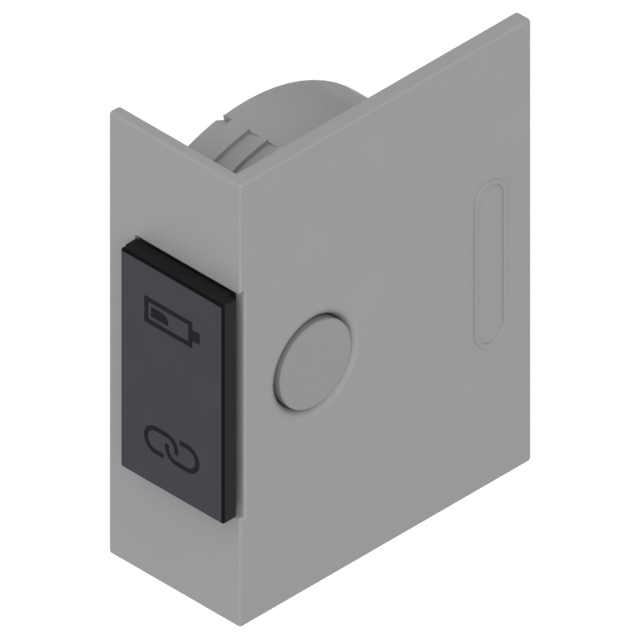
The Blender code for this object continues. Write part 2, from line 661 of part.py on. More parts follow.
def make_cap(material):
    """The push cap: a shallow shell with a skirt behind it, a pusher for the switch and two hooked legs."""
    half = CAP_HALF_HEIGHT
    cap = box("button_cap", (CAP_LEFT, CAP_FRONT, -half), (CAP_RIGHT, CAP_BACK, half), material,
              bevel=CAP_ROUND, segments=3)
    inside = CAP_FRONT + CAP_WALL
    cut(cap, box("cut_cap_inside", (CAP_LEFT + CAP_WALL, inside, -half + CAP_WALL),
                 (CAP_RIGHT - CAP_WALL, -12 * MM, half - CAP_WALL), material))
    root = inside - 0.2 * MM
    skirt_back = PLATE_FRONT - CAP_TRAVEL - TOUCH
    skirt = box("cap_skirt", (CAP_LEFT, root, -half), (SKIRT_RIGHT, skirt_back, half), material)
    cut(skirt, box("cut_skirt_inside", (CAP_LEFT + SKIRT_WALL, root - 1 * MM, -half + SKIRT_WALL),
                   (SKIRT_RIGHT - SKIRT_WALL, -12 * MM, half - SKIRT_WALL), material))
    add(cap, skirt)
    add(cap, rod("cap_pusher", "Y", (SWITCH_X, 0.0), 0.9 * MM, root, -10.15 * MM, 20, material))
    leg_low = (3.0 * MM, root, 8.5 * MM)
    leg_high = (7.0 * MM, -10.5 * MM, 9.2 * MM)
    for side, low, high in both_sides(leg_low, leg_high):
        add(cap, box(f"cap_leg_{side}", low, high, material))
    for side, sign in (("upper", 1), ("lower", -1)):
        wedge = [(-11.35 * MM, sign * 9.0 * MM), (-10.5 * MM, sign * 9.0 * MM), (-10.5 * MM, sign * 9.25 * MM),
                 (-11.35 * MM, sign * 9.75 * MM)]
        add(cap, prism(f"cap_hook_{side}", wedge, "X", 3.0 * MM, 7.0 * MM, material))
    return cap


# ---------------------------------------------------------------- assembly

def build():
    """Make every piece and hang the moving ones on their joints."""
    clear_scene()
    grey = make_material("housing_grey", (0.32, 0.325, 0.33), 0.5)
    button_grey = make_material("button_grey", (0.3, 0.3, 0.3), 0.45)
    cap_black = make_material("cap_anthracite", (0.065, 0.06, 0.07), 0.45)
    inner_black = make_material("tray_black", (0.03, 0.03, 0.032), 0.55)
    steel = make_material("steel", (0.62, 0.62, 0.64), 0.3, 1.0)
    cell_steel = make_material("cell_steel", (0.7, 0.7, 0.72), 0.22, 1.0)
    gold = make_material("contact_gold", (0.8, 0.6, 0.3), 0.3, 1.0)
    board_green = make_material("board_green", (0.02, 0.13, 0.06), 0.4)
    chip_black = make_material("chip_black", (0.02, 0.02, 0.022), 0.5)
    ceramic = make_material("ceramic", (0.5, 0.38, 0.25), 0.4)
    clear = make_material("guide_clear", (0.8, 0.82, 0.85), 0.1)
    white = make_material("lamp_white", (0.85, 0.85, 0.8), 0.35)

    make_housing(grey)
    make_rear_cover(grey)
    for number, place in enumerate(BOSS_PLACES, 1):
        make_cover_screw(number, place, steel)

    release_press = joint_empty("release_press_joint", Vector((PANEL_OUTER, RELEASE_Y, 0)))
    hang(release_press, make_release_button(button_grey))

    tray_slide = joint_empty("tray_slide_joint", Vector((SWITCH_X, PLATE_FRONT, 0)))
    hang(tray_slide, make_tray(inner_black), make_coin_cell(cell_steel), *make_contacts(gold))
    hang(tray_slide, make_latch_spring(steel), make_board(board_green))
    hang(tray_slide, make_board_screw(1, 1, steel), make_board_screw(2, -1, steel))
    hang(tray_slide, make_light_guide("light_guide_battery", 1, clear))
    hang(tray_slide, make_light_guide("light_guide_link", -1, clear))
    for name, sign in (("led_battery", 1), ("led_link", -1)):
        lamp = chip(name, (-8.8 * MM, sign * SYMBOL_Z), (1.0 * MM, 1.6 * MM, 0.8 * MM), white, 0.08 * MM)
        hang(tray_slide, lamp)
    hang(tray_slide, chip("radio_chip", (1.5 * MM, 5.0 * MM), (4 * MM, 4 * MM, 0.85 * MM), chip_black, 0.05 * MM))
    hang(tray_slide, chip("crystal", (-3.4 * MM, 5.4 * MM), (3.2 * MM, 2.5 * MM, 0.7 * MM), steel, 0.1 * MM))
    hang(tray_slide, chip("chip_antenna", (7.4 * MM, 4.6 * MM), (1.6 * MM, 4.0 * MM, 1.0 * MM), white, 0.05 * MM))
    hang(tray_slide, chip("buffer_capacitor", (-2.5 * MM, -5.2 * MM), (3.2 * MM, 1.6 * MM, 1.1 * MM), ceramic,
                          0.05 * MM))
    hang(tray_slide, chip("inductor", (1.8 * MM, -5.4 * MM), (2.0 * MM, 1.6 * MM, 1.0 * MM), chip_black,
                          0.08 * MM))
    for number in (1, 2, 3):
        place = (4.4 * MM + 1.5 * MM * (number - 1), -4.4 * MM)
        size = (0.8 * MM, 1.6 * MM, 0.8 * MM)
        hang(tray_slide, chip(f"capacitor_{number}", place, size, ceramic, 0.05 * MM))
        place = (4.4 * MM + 1.5 * MM * (number - 1), -6.9 * MM)
        size = (0.8 * MM, 1.6 * MM, 0.45 * MM)
        hang(tray_slide, chip(f"resistor_{number}", place, size, chip_black, 0.04 * MM))
    body, cover, dome, plunger = make_switch(chip_black, steel, inner_black)
    hang(tray_slide, body, cover, dome)

    cap_press = joint_empty("cap_press_joint", Vector((SWITCH_X, CAP_FRONT, 0)), tray_slide)
    hang(cap_press, make_cap(cap_black))
    plunger_press = joint_empty("plunger_press_joint", Vector((SWITCH_X, -10.05 * MM, 0)), tray_slide)
    hang(plunger_press, plunger)


build()
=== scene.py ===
"""Looks for the wireless cabinet push switch: finishes, fine edges, symbols, board detail and light."""

import json
import math

import bmesh
import bpy
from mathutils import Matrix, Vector


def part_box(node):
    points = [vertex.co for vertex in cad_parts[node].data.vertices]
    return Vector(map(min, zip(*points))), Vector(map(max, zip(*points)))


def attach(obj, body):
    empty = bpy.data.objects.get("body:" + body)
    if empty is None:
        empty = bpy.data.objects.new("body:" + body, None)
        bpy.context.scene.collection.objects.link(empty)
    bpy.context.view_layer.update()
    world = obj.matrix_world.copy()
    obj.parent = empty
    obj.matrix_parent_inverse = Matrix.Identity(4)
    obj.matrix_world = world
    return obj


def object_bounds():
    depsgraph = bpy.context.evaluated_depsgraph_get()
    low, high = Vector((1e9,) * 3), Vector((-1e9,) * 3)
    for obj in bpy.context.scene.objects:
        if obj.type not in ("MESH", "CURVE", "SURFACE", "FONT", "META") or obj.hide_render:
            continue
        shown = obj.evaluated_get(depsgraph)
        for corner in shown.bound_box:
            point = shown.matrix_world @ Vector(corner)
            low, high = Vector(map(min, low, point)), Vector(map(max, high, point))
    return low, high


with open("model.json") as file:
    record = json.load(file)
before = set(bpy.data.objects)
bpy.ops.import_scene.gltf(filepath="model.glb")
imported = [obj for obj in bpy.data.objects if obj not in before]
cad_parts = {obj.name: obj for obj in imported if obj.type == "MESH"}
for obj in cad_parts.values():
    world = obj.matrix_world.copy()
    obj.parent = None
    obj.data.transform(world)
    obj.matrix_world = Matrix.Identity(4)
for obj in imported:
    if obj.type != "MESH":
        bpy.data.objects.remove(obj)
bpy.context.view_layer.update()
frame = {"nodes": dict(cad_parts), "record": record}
NODES = frame["nodes"]

MM = 0.001


# ---------------------------------------------------------------- material tools

# The span that most of a noise texture's values fill.
NOISE_LOW = 0.3
NOISE_HIGH = 0.7


def srgb(red, green, blue):
    """An 8-bit display colour as linear values, by the sRGB formula."""
    out = []
    for value in (red, green, blue):
        share = value / 255
        out.append(share / 12.92 if share <= 0.04045 else ((share + 0.055) / 1.055) ** 2.4)
    return out


def centre_of(node):
    """The middle of a node's box."""
    low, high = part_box(node)
    return (low + high) / 2


class Finish:
    """A Principled material with its node tree at hand."""

    def __init__(self, name, roughness, metallic=0.0, specular=0.5):
        self.material = bpy.data.materials.new(name)
        self.material.use_nodes = True
        self.tree = self.material.node_tree
        self.shader = self.tree.nodes["Principled BSDF"]
        self.shader.inputs["Roughness"].default_value = roughness
        self.shader.inputs["Metallic"].default_value = metallic
        self.shader.inputs["Specular IOR Level"].default_value = specular
        self.place = self.tree.nodes.new("ShaderNodeTexCoord").outputs["Object"]

    def node(self, kind, **settings):
        """A node with its properties and its unlinked inputs set."""
        made = self.tree.nodes.new(kind)
        for key, value in settings.items():
            if hasattr(made, key):
                setattr(made, key, value)
            else:
                made.inputs[key].default_value = value
        return made

    def link(self, output, target):
        """Wire an output to an input."""
        self.tree.links.new(output, target)

    def math(self, operation, first, second=0.0):
        """A Math node on two outputs or numbers."""
        made = self.node("ShaderNodeMath", operation=operation)
        for socket, value in zip(made.inputs, (first, second)):
            if isinstance(value, (int, float)):
                socket.default_value = value
            else:
                self.link(value, socket)
        return made.outputs[0]

    def noise(self, size, detail=2.0, stretch=(1, 1, 1)):
        """Noise whose features are about size metres across."""
        mapping = self.node("ShaderNodeMapping")
        mapping.inputs["Scale"].default_value = [part / size for part in stretch]
        self.link(self.place, mapping.inputs["Vector"])
        noise = self.node("ShaderNodeTexNoise", Detail=detail, Scale=1.0)
        self.link(mapping.outputs["Vector"], noise.inputs["Vector"])
        return noise.outputs["Fac"]

    def mottle(self, fine, cloud):
        """A fine grain and a broad cloud added together, mostly grain."""
        grain_share = 0.6
        grain = self.math("MULTIPLY", fine, grain_share)
        return self.math("ADD", grain, self.math("MULTIPLY", cloud, 1 - grain_share))

    def axes(self):
        """The X, Y and Z outputs of a point's place."""
        split = self.node("ShaderNodeSeparateXYZ")
        self.link(self.place, split.inputs[0])
        return split.outputs

    def radius(self, centre):
        """A point's distance from the axis along X through a centre."""
        shift = self.node("ShaderNodeVectorMath", operation="SUBTRACT")
        self.link(self.place, shift.inputs[0])
        shift.inputs[1].default_value = (0, centre.y, centre.z)
        across = self.node("ShaderNodeVectorMath", operation="MULTIPLY")
        self.link(shift.outputs["Vector"], across.inputs[0])
        across.inputs[1].default_value = (0, 1, 1)
        reach = self.node("ShaderNodeVectorMath", operation="LENGTH")
        self.link(across.outputs["Vector"], reach.inputs[0])
        return reach.outputs["Value"]

    def rings(self, centre, size):
        """Noise that only changes with the distance from an axis along X, as turned marks do."""
        noise = self.node("ShaderNodeTexNoise", noise_dimensions="1D", Detail=2.0, Scale=1.0)
        self.link(self.math("DIVIDE", self.radius(centre), size), noise.inputs["W"])
        return noise.outputs["Fac"]

    def ramp(self, value, start, end, low=0.0, high=1.0):
        """A value from low to high as another goes from start to end."""
        mapped = self.node("ShaderNodeMapRange")
        mapped.inputs["From Min"].default_value = start
        mapped.inputs["From Max"].default_value = end
        mapped.inputs["To Min"].default_value = low
        mapped.inputs["To Max"].default_value = high
        self.link(value, mapped.inputs["Value"])
        return mapped.outputs["Result"]

    def between(self, factor, low, high):
        """A value from low to high as a noise factor goes through its usual span."""
        return self.ramp(factor, NOISE_LOW, NOISE_HIGH, low, high)

    def tint(self, factor, colour, change):
        """A colour that varies by a share of itself with a noise factor."""
        mix = self.node("ShaderNodeMix", data_type="RGBA")
        mix.inputs["A"].default_value = [part * (1 - change) for part in colour] + [1]
        mix.inputs["B"].default_value = [part * (1 + change) for part in colour] + [1]
        self.link(self.between(factor, 0.0, 1.0), mix.inputs["Factor"])
        return mix.outputs["Result"]

    def blend(self, factor, first, second):
        """One colour output turning into another as a factor goes from 0 to 1."""
        mix = self.node("ShaderNodeMix", data_type="RGBA")
        self.link(factor, mix.inputs["Factor"])
        self.link(first, mix.inputs["A"])
        self.link(second, mix.inputs["B"])
        return mix.outputs["Result"]

    def bump(self, height, distance):
        """Relief of a depth in metres, added to the relief made before."""
        bump = self.node("ShaderNodeBump", Strength=1.0, Distance=distance)
        self.link(height, bump.inputs["Height"])
        for earlier in self.shader.inputs["Normal"].links:
            self.link(earlier.from_socket, bump.inputs["Normal"])
        self.link(bump.outputs["Normal"], self.shader.inputs["Normal"])

    def colour(self, output):
        """Wire the base colour."""
        self.link(output, self.shader.inputs["Base Color"])

    def roughness(self, factor, low, high):
        """Let the roughness follow a noise factor."""
        self.link(self.between(factor, low, high), self.shader.inputs["Roughness"])

    def uneven_sheen(self, factor, below=0.05, above=0.05):
        """Let the roughness follow a noise factor about the value it was made with."""
        level = self.shader.inputs["Roughness"].default_value
        self.roughness(factor, level - below, level + above)


# ---------------------------------------------------------------- materials

def moulded(name, colour, roughness, grain=0.16 * MM, depth=0.002 * MM, mottling=0.025, specular=0.5):
    """Injection-moulded plastic: cloudy tone, uneven sheen, fine eroded grain and faint flow waves."""
    finish = Finish(name, roughness, specular=specular)
    cloud = finish.noise(7 * MM, detail=3.0)
    flow = finish.noise(2.2 * MM, detail=2.0, stretch=(1, 1, 0.45))
    fine = finish.noise(grain, detail=3.0)
    finish.colour(finish.tint(finish.mottle(fine, cloud), colour, mottling))
    finish.uneven_sheen(flow)
    finish.bump(flow, distance=0.0015 * MM)
    finish.bump(fine, depth)
    return finish.material


def cap_plastic(name, side_colour, painted_shade_top_colour, painted_shade_edge_colour):
    """Dull black plastic with painted shade: darker on the cap's top and darkest on its rounded front
    edges.
    """
    low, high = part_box("button_cap")
    top_skin = 0.06 * MM
    edge_round = 0.2 * MM
    mottling = 0.08
    finish = Finish(name, roughness=0.5, specular=0.05)
    axes = finish.axes()
    cloud = finish.noise(5 * MM, detail=3.0)
    fine = finish.noise(0.14 * MM, detail=3.0)
    both = finish.mottle(fine, cloud)
    side = finish.tint(both, side_colour, mottling)
    # painted shade: the top copy of the black is darker than the sides, for the shade the cap's top gets
    top = finish.tint(both, painted_shade_top_colour, mottling)
    # painted shade: the rounded front edges get the darkest copy of the black, for the dark they show
    # under the lamps
    edge = finish.tint(both, painted_shade_edge_colour, mottling)
    painted_shade_top_mask = finish.math("GREATER_THAN", axes["Z"], high.z - top_skin)
    painted_shade_edge_mask = finish.math("LESS_THAN", axes["Y"], low.y + edge_round)
    finish.colour(finish.blend(painted_shade_edge_mask, finish.blend(painted_shade_top_mask, side, top), edge))
    finish.uneven_sheen(cloud)
    finish.bump(fine, distance=0.0015 * MM)
    return finish.material


def disc_plastic(name, face_colour, painted_shade_rim_colour):
    """Moulded plastic of the round button, with painted shade: a darker rim next to the gap round it."""
    painted_shade_start = 3.9 * MM
    painted_shade_end = 4.05 * MM
    finish = Finish(name, roughness=0.46)
    painted_shade_rim = finish.ramp(finish.radius(centre_of("release_button")), painted_shade_start, painted_shade_end)
    cloud = finish.noise(7 * MM, detail=3.0)
    fine = finish.noise(0.16 * MM, detail=3.0)
    both = finish.mottle(fine, cloud)
    face = finish.tint(both, face_colour, change=0.025)
    # painted shade: the rim is tinted darker to stand for the shade in the gap round the button
    edge = finish.tint(both, painted_shade_rim_colour, change=0.04)
    finish.colour(finish.blend(painted_shade_rim, face, edge))
    finish.uneven_sheen(cloud)
    finish.bump(fine, distance=0.002 * MM)
    return finish.material


def metal(name, colour, roughness, stretch=(1, 1, 1)):
    """Plated sheet metal with a rolled grain and slightly uneven plating."""
    finish = Finish(name, roughness, metallic=1.0)
    rolled = finish.noise(0.12 * MM, detail=3.0, stretch=stretch)
    cloud = finish.noise(2.5 * MM, detail=3.0)
    finish.colour(finish.tint(cloud, colour, change=0.06))
    finish.uneven_sheen(rolled, above=0.08)
    finish.bump(rolled, distance=0.0004 * MM)
    return finish.material


def turned_metal(name, colour, roughness, node):
    """Metal with turned marks about a round node's own axis."""
    finish = Finish(name, roughness, metallic=1.0)
    marks = finish.rings(centre_of(node), 0.12 * MM)
    cloud = finish.noise(4 * MM, detail=4.0)
    finish.colour(finish.tint(cloud, colour, change=0.05))
    finish.uneven_sheen(marks, below=0.04, above=0.1)
    finish.bump(marks, distance=0.0006 * MM)
    return finish.material


def laminate(name, mask_colour, core_colour):
    """A circuit board: glossy solder mask over a woven core that shows along the cut edges."""
    low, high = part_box("circuit_board")
    skin = 0.06 * MM
    weave_pitch = 0.38 * MM
    weave_share = 0.12
    finish = Finish(name, roughness=0.3)
    axes = finish.axes()
    threads = []
    for axis in ("Y", "Z"):
        turns = finish.math("MULTIPLY", axes[axis], 2 * math.pi / weave_pitch)
        threads.append(finish.math("SINE", turns))
    weave = finish.math("MULTIPLY", finish.math("MULTIPLY", threads[0], threads[1]), weave_share)
    cloud = finish.noise(3 * MM, detail=3.0)
    woven = finish.math("ADD", cloud, weave)
    mask = finish.tint(woven, mask_colour, change=0.16)
    core = finish.tint(finish.noise(0.12 * MM, detail=3.0, stretch=(6, 1, 1)), core_colour, change=0.25)
    above = finish.math("GREATER_THAN", axes["X"], low.x + skin)
    below = finish.math("LESS_THAN", axes["X"], high.x - skin)
    finish.colour(finish.blend(finish.math("MULTIPLY", above, below), mask, core))
    finish.roughness(cloud, 0.22, 0.38)
    finish.bump(woven, distance=0.002 * MM)
    return finish.material


def clear_plastic(name, colour):
    """Moulded clear polycarbonate with a slightly frosted surface."""
    finish = Finish(name, roughness=0.12)
    finish.shader.inputs["Transmission Weight"].default_value = 0.85
    finish.shader.inputs["IOR"].default_value = 1.58
    fine = finish.noise(0.3 * MM, detail=2.0)
    finish.colour(finish.tint(fine, colour, change=0.02))
    finish.roughness(fine, 0.08, 0.22)
    finish.bump(fine, distance=0.001 * MM)
    return finish.material


def ceramic(name, colour):
    """Sintered ceramic: fine speckle and a matt sheen."""
    finish = Finish(name, roughness=0.45)
    speckle = finish.noise(0.07 * MM, detail=4.0)
    finish.colour(finish.tint(speckle, colour, change=0.14))
    finish.roughness(speckle, 0.38, 0.58)
    finish.bump(speckle, distance=0.002 * MM)
    return finish.material


HOUSING_GREY = moulded("housing_grey", srgb(144, 145, 147), 0.5)
# The button's rim colour is painted shade.
BUTTON_GREY_PAINTED_SHADE = disc_plastic("button_grey", srgb(138, 138, 138), srgb(126, 126, 127))
# The cap's top and front-edge colours are painted shade, darker than its side colour.
CAP_BLACK_PAINTED_SHADE = cap_plastic("cap_black_painted_shade", srgb(36, 36, 36), srgb(28, 28, 28), srgb(12, 11, 13))
CAP_FACE = moulded("cap_face_grey", srgb(57, 54, 60), 0.5, specular=0.15, grain=0.1 * MM, depth=0.001 * MM)
SYMBOL_INK = moulded("symbol_ink", srgb(28, 26, 30), 0.6, specular=0.05, mottling=0.1, depth=0.001 * MM)
TRAY_BLACK = moulded("tray_black", srgb(33, 33, 35), 0.5, specular=0.3, mottling=0.08)
CHIP_BLACK = moulded("chip_black", srgb(38, 38, 40), 0.45, grain=0.06 * MM, mottling=0.12)
LAMP_WHITE = moulded("lamp_white", srgb(222, 220, 208), 0.35, grain=0.1 * MM)
LAMP_YELLOW = moulded("lamp_yellow", srgb(226, 204, 96), 0.25, grain=0.05 * MM, mottling=0.1)
BOARD_INK = moulded("board_ink", srgb(225, 226, 220), 0.55, grain=0.05 * MM, mottling=0.08)
GUIDE_CLEAR = clear_plastic("guide_clear", srgb(224, 230, 236))
CERAMIC = ceramic("ceramic_tan", srgb(176, 142, 104))
BOARD_GREEN = laminate("board_green", srgb(22, 92, 52), srgb(176, 170, 112))
TRACK_GREEN = moulded("track_green", srgb(44, 124, 70), 0.28, grain=0.2 * MM, mottling=0.1)
SPRING_STEEL = metal("spring_steel", (0.6, 0.6, 0.61), 0.32, stretch=(1, 0.12, 1))
SCREW_STEEL = metal("screw_steel", (0.62, 0.62, 0.64), 0.3)
TIN = metal("tin", (0.7, 0.7, 0.69), 0.34)
CELL_STEEL = turned_metal("cell_steel", (0.62, 0.62, 0.63), 0.3, "coin_cell")
GOLD = metal("contact_gold", (0.83, 0.62, 0.3), 0.3, stretch=(1, 0.2, 1))

FINISH_OF_SLOT = {
    "housing_nylon": HOUSING_GREY,
    "button_nylon": BUTTON_GREY_PAINTED_SHADE,
    "cap_plastic": CAP_BLACK_PAINTED_SHADE,
    "tray_plastic": TRAY_BLACK,
    "plunger_plastic": TRAY_BLACK,
    "chip_plastic": CHIP_BLACK,
    "cell_steel": CELL_STEEL,
    "spring_steel": SPRING_STEEL,
    "screw_steel": SCREW_STEEL,
    "contact_gold": GOLD,
    "board_laminate": BOARD_GREEN,
    "ceramic": CERAMIC,
    "guide_clear": GUIDE_CLEAR,
    "lamp_white": LAMP_WHITE,
}


# ---------------------------------------------------------------- fine edges on the CAD nodes

FINE_EDGE = 0.06 * MM
SHARP_DEG = 40
FLAT_DEG = 1
WELD_REACH = 0.001 * MM


def soften(piece, width):
    """Round a mesh's sharp edges and keep its large faces flat."""
    edge = piece.modifiers.new("soft_edges", "BEVEL")
    edge.width = width
    edge.segments = 2
    edge.limit_method = "ANGLE"
    edge.angle_limit = math.radians(SHARP_DEG)
    flat = piece.modifiers.new("flat_faces", "WEIGHTED_NORMAL")
    flat.mode = "FACE_AREA"
    flat.keep_sharp = True
    piece.data.shade_smooth()


def refine(node, width):
    """Weld a node's split corners, join its flat triangles into faces and soften it."""
    weld = node.modifiers.new("weld", "WELD")
    weld.merge_threshold = WELD_REACH
    joined = node.modifiers.new("joined_faces", "DECIMATE")
    joined.decimate_type = "DISSOLVE"
    joined.angle_limit = math.radians(FLAT_DEG)
    soften(node, width)


for entry in frame["record"]["subparts"]:
    part = NODES[entry["node"]]
    part.data.materials.clear()
    part.data.materials.append(FINISH_OF_SLOT[entry["material_slot"]])
    refine(part, FINE_EDGE)


# ---------------------------------------------------------------- mesh tools

def arc(centre, radius, start_deg, end_deg, steps):
    """Points on an arc, both ends included."""
    points = []
    for i in range(steps + 1):
        angle = math.radians(start_deg + (end_deg - start_deg) * i / steps)
        points.append((centre[0] + radius * math.cos(angle), centre[1] + radius * math.sin(angle)))
    return points


def rectangle(low, high, corner=0.0, steps=4):
    """A rectangle's outline between two corners, with round corners where asked."""
    if not corner:
        return [(low[0], low[1]), (high[0], low[1]), (high[0], high[1]), (low[0], high[1])]
    points = []
    left = low[0] + corner
    right = high[0] - corner
    bottom = low[1] + corner
    top = high[1] - corner
    centres = [(right, bottom), (right, top), (left, top), (left, bottom)]
    for centre, start in zip(centres, (-90, 0, 90, 180)):
        points += arc(centre, corner, start, start + 90, steps)
    return points


def span(face, sign, inward, outward):
    """The low and high end of a stretch that lies about a face looking along a sign."""
    return sorted((face - sign * inward, face + sign * outward))


def ribbon(path, width):
    """The outline of a line of even width along a path of points, with square ends."""
    least_cosine = 0.3
    left = []
    right = []
    for i, point in enumerate(path):
        here = Vector(point)
        before = Vector(path[max(i - 1, 0)])
        after = Vector(path[min(i + 1, len(path) - 1)])
        into = (here - before).normalized() if i else (after - here).normalized()
        out = (after - here).normalized() if i < len(path) - 1 else into
        tangent = (into + out).normalized()
        normal = Vector((-tangent.y, tangent.x))
        reach = width / 2 / max(normal.dot(Vector((-into.y, into.x))), least_cosine)
        left.append(here + normal * reach)
        right.append(here - normal * reach)
    return [tuple(point) for point in left + right[::-1]]


def in_space(axis, along, point):
    """A 3-D point from its place along an axis and its two coordinates across it."""
    if axis == "X":
        return (along, point[0], point[1])
    return (point[0], along, point[1])


class Pile:
    """A mesh under construction, of many closed solids."""

    def __init__(self, axis):
        self.axis = axis
        self.bm = bmesh.new()

    def slab(self, outline, low, high):
        """An outline extruded along the axis."""
        self.loft([outline, outline], [low, high])

    def loft(self, outlines, places):
        """Outlines of the same count joined in turn and closed at both ends."""
        rings = []
        for outline, along in zip(outlines, places):
            rings.append([self.bm.verts.new(in_space(self.axis, along, point)) for point in outline])
        count = len(rings[0])
        for here, there in zip(rings, rings[1:]):
            for i in range(count):
                j = (i + 1) % count
                self.bm.faces.new((here[i], here[j], there[j], there[i]))
        self.bm.faces.new(rings[0])
        self.bm.faces.new(rings[-1])

    def frame(self, outer, inner, low, high):
        """A flat ring between two outlines of the same count."""
        loops = []
        for outline, along in ((outer, low), (outer, high), (inner, high), (inner, low)):
            loops.append([self.bm.verts.new(in_space(self.axis, along, point)) for point in outline])
        count = len(outer)
        for k in range(4):
            here = loops[k]
            there = loops[(k + 1) % 4]
            for i in range(count):
                j = (i + 1) % count
                self.bm.faces.new((here[i], here[j], there[j], there[i]))

    def ring(self, centre, outer, inner, low, high, steps):
        """A flat round ring across the axis."""
        last = 360 * (steps - 1) / steps
        outside = arc(centre, outer, 0, last, steps - 1)
        inside = arc(centre, inner, 0, last, steps - 1)
        self.frame(outside, inside, low, high)

    def finish(self, name, material, body, slot, edge=0.0):
        """Turn the solids into one piece that rides on a body."""
        bmesh.ops.recalc_face_normals(self.bm, faces=self.bm.faces)
        mesh = bpy.data.meshes.new(name)
        self.bm.to_mesh(mesh)
        self.bm.free()
        mesh.materials.append(material)
        piece = bpy.data.objects.new(name, mesh)
        bpy.context.scene.collection.objects.link(piece)
        if edge:
            soften(piece, edge)
        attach(piece, body)


# ---------------------------------------------------------------- cap: printed face and symbols

PRINT_THICKNESS = 0.012 * MM
SYMBOL_OFFSET = 6.2 * MM
STROKE = 0.45 * MM


def make_cap_face():
    """The lighter film over the flat of the cap's front, inside its rounded edges."""
    low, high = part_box("button_cap")
    inset = 0.21 * MM
    corner = 0.15 * MM
    outline = rectangle((low.x + inset, low.z + inset), (high.x - inset, high.z - inset), corner)
    pile = Pile("Y")
    pile.slab(outline, low.y - PRINT_THICKNESS, low.y + PRINT_THICKNESS)
    pile.finish("cap_face", CAP_FACE, "cap", "cap_plastic")


def symbol_pile():
    """A pile for a symbol, its centre across the cap, and its front and back along Y."""
    low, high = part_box("button_cap")
    centre_x = (low.x + high.x) / 2
    face = low.y - PRINT_THICKNESS
    return Pile("Y"), centre_x, face - PRINT_THICKNESS, face + PRINT_THICKNESS / 2


def make_battery_symbol():
    """A battery lying on its side, low in charge."""
    pile, centre_x, front, back = symbol_pile()
    left = centre_x - 3.1 * MM
    right = centre_x + 2.35 * MM
    bottom = SYMBOL_OFFSET - 1.28 * MM
    top = SYMBOL_OFFSET + 1.27 * MM
    outer = rectangle((left, bottom), (right, top))
    inner = rectangle((left + STROKE, bottom + STROKE), (right - STROKE, top - STROKE))
    pile.frame(outer, inner, front, back)
    nub_half = 0.54 * MM
    nub_end = right + 0.83 * MM
    nub = rectangle((right, SYMBOL_OFFSET - nub_half), (nub_end, SYMBOL_OFFSET + nub_half))
    pile.slab(nub, front, back)
    level_left = left + STROKE + 0.3 * MM
    level_foot = level_left + 1.95 * MM
    level_bottom = SYMBOL_OFFSET - 0.48 * MM
    level_top = SYMBOL_OFFSET + 0.48 * MM
    shoulder = 0.78 * MM
    shoulder_centre = (level_left + 1.2 * MM, level_top - shoulder)
    level = [(level_left, level_bottom), (level_foot, level_bottom)]
    level += arc(shoulder_centre, shoulder, 0, 90, 6)
    level.append((level_left, level_top))
    pile.slab(level, front, back)
    pile.finish("battery_symbol", SYMBOL_INK, "cap", "cap_plastic")


def make_link_symbol():
    """Two open chain links, each the other turned half round."""
    pile, centre_x, front, back = symbol_pile()
    radius = 1.13 * MM
    shift = 1.19 * MM
    straight = 0.6 * MM
    lower_end = (-0.92 * MM, -radius)
    hook_deg = -14
    path = [lower_end] + arc((-shift - straight, 0), radius, 270, 90, 16)
    path += arc((-shift + straight, 0), radius, 90, hook_deg, 12)
    for sign in (1, -1):
        link = [(centre_x + sign * x, sign * z - SYMBOL_OFFSET) for x, z in path]
        pile.slab(ribbon(link, STROKE), front, back)
    pile.finish("link_symbol", SYMBOL_INK, "cap", "cap_plastic")


# ---------------------------------------------------------------- board: joints, pins, tracks and print

BOARD_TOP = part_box("circuit_board")[1].x
TWO_ENDED = ["buffer_capacitor", "inductor", "chip_antenna", "led_battery", "led_link",
             "capacitor_1", "capacitor_2", "capacitor_3", "resistor_1", "resistor_2", "resistor_3"]
# How far a thin piece starts inside what it lies on, and how far pads, tracks and print stand above it.
SINK = 0.01 * MM
PAD_HEIGHT = 0.03 * MM
TRACK_HEIGHT = 0.018 * MM
PRINT_HEIGHT = 0.024 * MM
# How far a pad's solder reaches out from its component, and the widths of tracks.
PAD_REACH = 0.3 * MM
THIN = 0.16 * MM
MEDIUM = 0.25 * MM
WIDE = 0.4 * MM


def footprint(node):
    """A component's low and high corners on the board, and where it starts and ends above it."""
    low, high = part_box(node)
    return (low.y, low.z), (high.y, high.z), low.x, high.x


def middle(node):
    """A component's centre on the board."""
    low, high, _, _ = footprint(node)
    return ((low[0] + high[0]) / 2, (low[1] + high[1]) / 2)


def end_blocks(node, share, proud):
    """The two rectangles that cover a share of a component at each end of its longer side."""
    low, high, _, _ = footprint(node)
    long_axis = 0 if high[0] - low[0] > high[1] - low[1] else 1
    cover = (high[long_axis] - low[long_axis]) * share
    blocks = []
    for face, sign in ((low[long_axis], -1), (high[long_axis], 1)):
        start = [part - proud for part in low]
        end = [part + proud for part in high]
        start[long_axis], end[long_axis] = span(face, sign, cover, proud)
        blocks.append((start, end, long_axis, sign))
    return blocks


